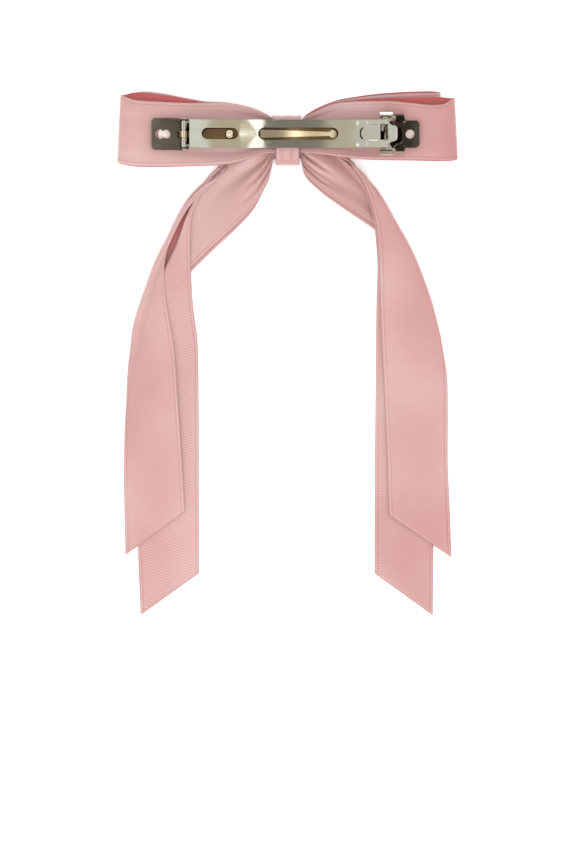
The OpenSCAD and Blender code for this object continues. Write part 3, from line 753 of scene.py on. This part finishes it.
        right = Strip(
            upper=[(3.2, -0.7), (7, -2), (11.8, -4)],
            lower=[(4.2, -5.9), (4.7, -10.2), (9.1, -14.9), (15.4, -19.3), (21.6, -23.1),
                   (25.6, -25.6), (31, -30.6), (36, -37.6), (39.8, -48)],
            fold=[(11.8, -4), (15.3, -5.4), (18.4, -7.8), (21.2, -11.4), (25, -16.2),
                  (28.3, -21), (31.6, -27.2), (35, -34.5), (38, -42), (40.2, -49)],
            near=[(11.8, -4.3), (16, -6.4), (19.8, -10.2), (22.2, -13.9), (24.3, -18.7),
                  (25.9, -24.3), (26.8, -32.2), (27.2, -38.2), (26.9, -49.6),
                  (26.6, -77.7), (26.4, -97.5), (26.3, -131.9)],
            far=[(40.2, -49), (41.8, -60), (43, -74), (43.8, -90), (44.1, -108),
                 (44.1, -122.8), (43.9, -144.6)],
            fan_z=fan,
            tail_z=eased(2.9, 0.42, 0.03, 0.5, curl=0.22, ripple=0.2, waves=1.6, twist=-0.3),
            bulge=0.6,
            pleats=[Pleat(0.42, 0.06, 2.1, 0.5, 0.05), Pleat(0.62, 0.16, 0.9, 1.0, 0.02),
                    Pleat(0.8, 0.05, 1.4, 0.4, -0.1)],
            side=-1.0)
        return self._strips("inner_tails", (left, right))

    def _ring(self, node: str, left: "Loop", right: "Loop") -> bpy.types.Object:
        """Joins two loops into one ring of ribbon."""
        ribbon = Ribbon(f"ribbon_{node}")
        grids = [left.grid()[:, ::-1], right.grid()]
        s = np.linspace(-RIBBON_W / 2, RIBBON_W / 2, grids[0].shape[0])
        t = np.linspace(0, 1, 10)[None, 1:-1, None]
        lower = grids[0][:, -1][:, None] * (1 - t) + grids[1][:, 0][:, None] * t
        upper = grids[1][:, -1][:, None] * (1 - t) + grids[0][:, 0][:, None] * t
        ring = np.concatenate([grids[0], lower, grids[1], upper, grids[0][:, :1]], 1)
        # Painted shade: the loops' whole second face gets the shade colour.
        lengths = ribbon.add(seated(ring, node), s, np.ones(1))
        piece = ribbon.build(self._faces(node), node)
        return piece

    def back_loops(self) -> bpy.types.Object:
        """Builds the ring of loops that touches the clip."""
        def side_view(reach: float) -> list[Point]:
            """Returns the loop's side view, from the knot round the end and back."""
            return [(3.2, 4.75), (10, 4.8), (22, 5.5), (34, 6.6), (reach - 4, 7.6),
                    (reach - 1, 8.3), (reach, 9.4), (reach - 0.8, 10.6), (reach - 4, 11.25),
                    (36, 9.9), (24, 7.7), (12, 6.2), (3.2, 5.5)]
        left = Loop(
            side_view(50.9), -1.0,
            top=[(3.2, 4.3), (4.9, 5.7), (9, 7.7), (13, 8.9), (19, 9.9), (23.5, 9.9),
                 (29.1, 9.7), (38, 9.9), (45.9, 10.3), (48.6, 10.9), (51.2, 11.9)],
            far_top=[(3.2, 4.3), (4.9, 5.6), (9, 7.7), (13, 8.9), (18.7, 9.9), (25.1, 10.2),
                     (30.7, 11), (37.1, 12.1), (43.1, 12.7), (47.1, 12.9), (51.2, 12.2)],
            bottom=[(3.2, -5.2), (6.7, -5.4), (13, -7.4), (17, -8.4), (21.4, -8.9),
                    (29.2, -9.3), (43.3, -9.6), (48, -9.2), (51.3, -8.3)],
            pleats=[Pleat(0.16, 0.11, 0.5, 1.0, 0.1), Pleat(0.8, 0.1, 0.4, 0.9)])
        right = Loop(
            side_view(50.9), 1.0,
            top=[(3.2, 4), (4.2, 4.9), (8.6, 7.4), (13.8, 9.5), (17.8, 10.1), (25.8, 10.3),
                 (31.8, 10.2), (37.8, 9.5), (43.9, 8.9), (47.9, 9.3), (51.4, 11.3)],
            far_top=[(3.2, 4), (4.2, 5), (8.6, 7.9), (15, 10.1), (25.8, 11.1), (35, 11.4),
                     (51.4, 11.5)],
            bottom=[(3.2, -5), (10, -5.6), (19.6, -6.8), (25, -7.3), (37, -7.6),
                    (50, -7.7), (51.3, -7.2)],
            pleats=[Pleat(0.16, 0.1, 0.5, 1.0, 0.05), Pleat(0.8, 0.1, 0.3, 0.9)])
        return self._ring("back_loops", left, right)

    def front_loops(self) -> bpy.types.Object:
        """Builds the ring of loops on the bow's front, which lies on the table."""
        def side_view(reach: float) -> list[Point]:
            """Returns the loop's side view, from the knot round the end and back."""
            return [(3.2, 1.3), (8, 0.8), (20, 0.35), (reach - 8, 0.35), (reach - 3, 0.7),
                    (reach - 0.6, 1.6), (reach, 2.6), (reach - 0.8, 3.7), (reach - 4, 4.5),
                    (reach - 12, 4.4), (22, 3.2), (10, 2.2), (3.2, 1.9)]
        left = Loop(
            side_view(47), -1.0,
            top=[(3.2, 4.4), (4.9, 5.9), (9, 8), (13, 9.2), (18.7, 10.2), (25.1, 10.5),
                 (30.7, 11.4), (37.1, 12.6), (43.1, 13.3), (47.3, 13.4)],
            far_top=[(3.2, 4.2), (9, 7.6), (18.7, 9.8), (30.7, 10.9), (47.3, 12.8)],
            bottom=[(3.2, -3.4), (10, -4.4), (20, -5.6), (34, -6.4), (47, -5.7)])
        right = Loop(
            side_view(46.6), 1.0,
            top=[(3.2, 4), (4.2, 4.9), (5.8, 6.6), (9.8, 8.7), (15, 10.6), (20.3, 11.5),
                 (25.9, 12.2), (31.9, 12.6), (37.9, 12.9), (46.8, 13)],
            far_top=[(3.2, 4), (4.2, 4.9), (5.8, 6.8), (9.8, 9.1), (15, 11.1), (20.3, 12.1),
                     (25.9, 12.9), (31.9, 13.4), (37.9, 13.7), (46.8, 13.8)],
            bottom=[(3.2, -3.4), (10, -3.6), (20, -4.6), (34, -5.2), (47, -5)])
        return self._ring("front_loops", left, right)

    def wrap(self) -> bpy.types.Object:
        """Builds the folded ribbon that goes round the knot and the base plate."""
        ribbon = Ribbon("ribbon_centre_wrap")
        around = Curve([(-8.4, 3.4), (-8.45, 1.6), (-7.6, 0.45), (-3, 0.2), (3, 0.2),
                        (5.2, 0.4), (6.05, 1.6), (6.1, 4.4), (5.75, 6.0), (4.6, 7.1),
                        (3, 7.33), (0, 7.36), (-3, 7.33), (-4.9, 7.05), (-7.0, 6.1),
                        (-8.2, 5.2), (-8.4, 3.4)])
        share = np.linspace(0, 1, 160)
        path = around.at(share)
        out = around.normal(share, 1.0)
        across = np.concatenate([np.linspace(-9.5, -3.6, 14), np.linspace(-3.5, 3.5, 24),
                                 np.linspace(3.6, 9.5, 14)])
        grid = np.zeros((len(across), len(share), 3))
        for i, v in enumerate(across):
            tucked = smooth(abs(v), 3.35, 3.75)
            x = v if abs(v) <= 3.5 else math.copysign(7.0 - abs(v), v)
            sink = tucked * (0.17 if v < 0 else 0.3)
            upper = smooth(path[:, 0], 3.2, 5.0)
            grid[i, :, 0] = x * (1 + 0.22 * upper) - 0.3 * upper
            ridge = 0.12 * (1 - tucked) * math.sin(v * 2.1 + 0.6) * smooth(share, 0, 1)
            grid[i, :, 1:] = path + out * (ridge - sink)[:, None]
        lengths = ribbon.add(seated(grid, "centre_wrap", (1,)), across)
        piece = ribbon.build(self._faces("centre_wrap"), "centre_wrap", 0.1, "satin_wrap")
        return piece


@dataclass
class Loop:
    """One open loop: a side view swept between two selvedges seen in plan."""

    side_view: list[Point]
    side: float
    top: list[Point]
    far_top: list[Point]
    bottom: list[Point]
    pleats: list[Pleat] = field(default_factory=list)
    threads: int = 31

    def grid(self) -> np.ndarray:
        """Lays the loop out, threads first, from the lower ply at the knot to the upper ply."""
        s = np.linspace(0, 1, self.threads)[:, None]
        path = Curve(self.side_view).at(np.linspace(0, 1, 150))
        x, z = path[:, 0][None], path[:, 1][None]
        share = np.linspace(0, 1, path.shape[0])[None]
        turn = share[0, int(np.argmax(x))]
        upper = smooth(share, turn - 0.05, turn + 0.05)
        top = Curve(self.far_top).y_at(x) * (1 - upper) + Curve(self.top).y_at(x) * upper
        y = top * (1 - s) + Curve(self.bottom).y_at(x) * s
        out = (x - 3.2) / (x.max() - 3.2)
        pleat = sum((p.height(s, out) for p in self.pleats), np.zeros_like(s * x)) * upper
        wave = 0.22 * np.sin(7.0 * out + 5.0 * s) * smooth(out, 0.1, 0.3) * upper
        wave = wave * smooth(np.abs(y), 4.9, 7.0)
        slant = 0.5 * (2 * s - 1) * smooth(out, 0.75, 1.0)
        grid = np.stack(np.broadcast_arrays(self.side * (x + slant), y, z + pleat + wave), -1)
        return np.array(grid)


class Metalwork:
    """The clip's steel parts, which keep their shape and get plating and softened edges."""

    def __init__(self, frame: dict) -> None:
        """Keeps the loaded frame."""
        self.nodes = frame["nodes"]
        nickel = srgb(212, 212, 203)
        straw = srgb(203, 196, 178)
        self.finish = {
            "base_plate": Plating("plate_olive", srgb(116, 109, 97), srgb(96, 86, 70), 0.12),
            "hinge_pin": Plating("pin_nickel", nickel, straw, 0.2, (900, 60, 900)),
            "lever": Plating("lever_nickel", nickel, straw, 0.035),
            "latch_tongue": Plating("tongue_steel", srgb(214, 220, 217), nickel, 0.12),
            # The spring's rib and dome get a painted highlight over the darker gold body.
            "tension_bow": Plating(
                "spring_gold", srgb(128, 108, 82), srgb(104, 84, 58), 0.09,
                painted_highlight_above=self._spring_rise(), painted_highlight_colour=srgb(240, 224, 192)),
            "upper_jaw": Plating("jaw_nickel", nickel, straw, 0.1),
            "lower_jaw": Plating("jaw_nickel", nickel, straw, 0.1),
        }

    @staticmethod
    def _spring_rise() -> float:
        """Returns the height above which the spring's rib and dome get a painted highlight."""
        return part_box("tension_bow")[1][2] - 0.68 * MM

    def dress(self) -> None:
        """Gives each steel part its plating and rounds its sharp edges a little."""
        made: dict[str, bpy.types.Material] = {}
        for name, finish in self.finish.items():
            made.setdefault(finish.name, finish.material())
            self._coat(name, made[finish.name])
            edge = self.nodes[name].modifiers.new("edge", "BEVEL")
            edge.width = (0.32 if name == "tension_bow" else 0.09) * MM
            edge.segments = 3
            edge.limit_method = "ANGLE"
            edge.angle_limit = math.radians(40)
            edge.harden_normals = True
        self._coat("glue_pads", Glue().material())
        cotton = Satin("binding_cotton", srgb(214, 160, 155), srgb(170, 110, 105))
        self._coat("binding_thread", cotton.material())

    def _coat(self, name: str, material: bpy.types.Material) -> None:
        """Puts one material on a node."""
        node = self.nodes[name]
        node.data.materials.clear()
        node.data.materials.append(material)


@dataclass(frozen=True)
class SoftBox:
    """A square soft light that is aimed at the bow."""

    name: str
    place: tuple[float, float, float]
    size: float
    power: float
    mirrored: bool = True
    aim: tuple[float, float, float] = (0.0, -0.05, 0.0)

    def build(self) -> None:
        """Adds the light; one that isn't mirrored stays out of polished metal."""
        data = bpy.data.lights.new(self.name, "AREA")
        data.shape = "SQUARE"
        data.size = self.size
        data.energy = self.power
        lamp = bpy.data.objects.new(self.name, data)
        lamp.location = self.place
        lamp.visible_glossy = self.mirrored
        heading = np.array(self.aim) - np.array(self.place)
        flat = math.hypot(heading[0], heading[1])
        lamp.rotation_euler = (math.atan2(flat, -heading[2]), 0.0,
                               math.atan2(-heading[0], heading[1]))
        bpy.context.scene.collection.objects.link(lamp)


class Studio:
    """The pale table, the soft light round it and the camera over it."""

    lights = (SoftBox("key", (-0.25, -0.75, 0.95), 1.0, 7.0),
              SoftBox("fill", (0.5, 0.5, 0.9), 0.8, 1.6, mirrored=False),
              SoftBox("front", (0.0, -0.15, 1.05), 0.4, 3.2, mirrored=False))

    def floor(self) -> None:
        """Builds the table as a wide flat slab whose top is just under the object."""
        half, deep = 1.6, 0.01
        top = -0.00005
        corners = [(x, y, z) for z in (top - deep, top) for y in (-half, half)
                   for x in (-half, half)]
        sides = [(0, 2, 3, 1), (4, 5, 7, 6), (0, 1, 5, 4), (2, 6, 7, 3), (0, 4, 6, 2),
                 (1, 3, 7, 5)]
        mesh = bpy.data.meshes.new("table")
        mesh.from_pydata(corners, [], sides)
        mesh.materials.append(Paper().material())
        table = bpy.data.objects.new("table", mesh)
        bpy.context.scene.collection.objects.link(table)

    def world(self) -> None:
        """Builds a studio of soft light, with a darker patch straight overhead."""
        world = bpy.data.worlds.new("studio")
        bpy.context.scene.world = world
        world.use_nodes = True
        graph = Graph(world.node_tree)
        ray = graph.node("ShaderNodeNewGeometry", output="Incoming")
        lean = graph.axes(ray)[0] * -1.0
        level = graph.node(
            "ShaderNodeValToRGB",
            {"stops": [(0.0, (0.8, 0.8, 0.8)), (0.04, (0.1, 0.09, 0.08)),
                       (0.10, (0.12, 0.11, 0.1)), (0.20, (0.7, 0.69, 0.66)),
                       (0.36, (0.6, 0.56, 0.48)), (0.44, (0.5, 0.47, 0.4)),
                       (0.455, (0.24, 0.23, 0.21)), (0.542, (0.22, 0.21, 0.19)),
                       (0.548, (1.6, 1.58, 1.5)), (0.566, (1.6, 1.58, 1.5)),
                       (0.571, (0.52, 0.46, 0.36)), (0.627, (0.52, 0.47, 0.38)),
                       (0.631, (0.7, 0.72, 0.68)), (0.69, (0.78, 0.79, 0.76)),
                       (0.85, (0.62, 0.6, 0.56)), (0.93, (0.45, 0.44, 0.42)),
                       (1.0, (0.8, 0.8, 0.8))]},
            {0: lean + 0.5})
        shader = graph.node("ShaderNodeBackground", inputs={"Color": level, "Strength": 1.28})
        graph.node("ShaderNodeOutputWorld", inputs={"Surface": shader})

    def camera(self) -> None:
        """Hangs the camera over the object, looking straight down."""
        centre = (0.00015, -0.08907)
        distance, view_height, plane = 1.1, 0.2587, 0.010
        data = bpy.data.cameras.new("camera")
        data.sensor_width = 36.0
        data.lens = 36.0 * distance / view_height
        data.clip_start = 0.05
        camera = bpy.data.objects.new("camera", data)
        camera.location = (*centre, plane + distance)
        bpy.context.scene.collection.objects.link(camera)
        bpy.context.scene.camera = camera

    def build(self) -> None:
        """Builds the whole studio."""
        self.floor()
        self.world()
        for light in self.lights:
            light.build()
        self.camera()
        bpy.context.scene.view_settings.view_transform = "Standard"


def main() -> None:
    """Builds the looks round the frame and finishes."""
    logging.basicConfig(level=logging.INFO)
    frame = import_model()
    Metalwork(frame).dress()
    Bow().build()
    Studio().build()
    bpy.context.view_layer.update()


if __name__ == "__main__":
    main()
